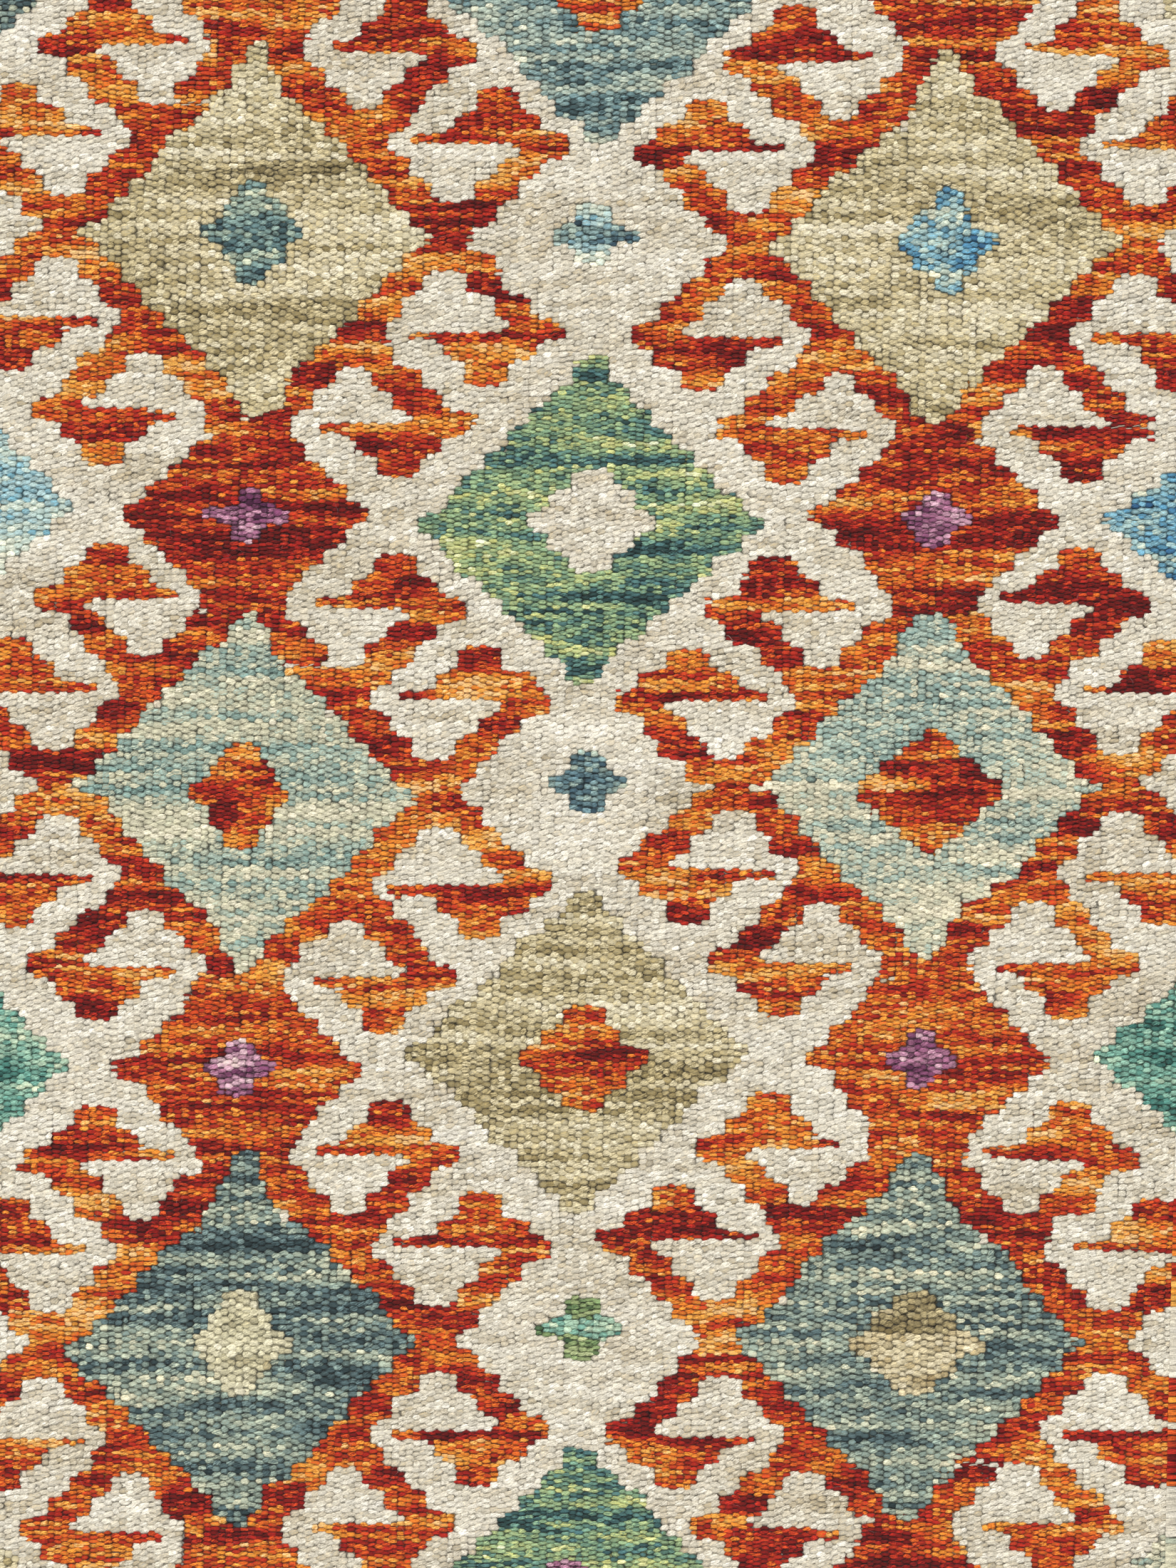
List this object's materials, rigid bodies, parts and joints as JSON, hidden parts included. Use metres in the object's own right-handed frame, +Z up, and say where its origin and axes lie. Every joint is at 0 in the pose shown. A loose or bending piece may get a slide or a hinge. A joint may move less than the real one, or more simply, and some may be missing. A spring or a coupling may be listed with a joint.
{
  "type": "kilim rug",
  "caption": "Flat-woven wool kilim rug, a cut length with stepped diamonds and hooked motifs, corded sides and plain cut ends.",
  "frame": {"origin": "centre of the flat underside, on the surface that the rug lies on", "axes": "+Y along the warp, which is the rug's length and the picture's upward direction; +X across the weave; +Z up, out of the face"},
  "size_m": [0.5825, 0.7646, 0.0037],
  "materials": {
    "wool": "hand-spun wool, weft-faced plain weave in ivory, rust, olive beige, duck-egg, teal and blue"
  },
  "bodies": {
    "root": {"kilim_cloth": "wool"}
  },
  "joints": []
}
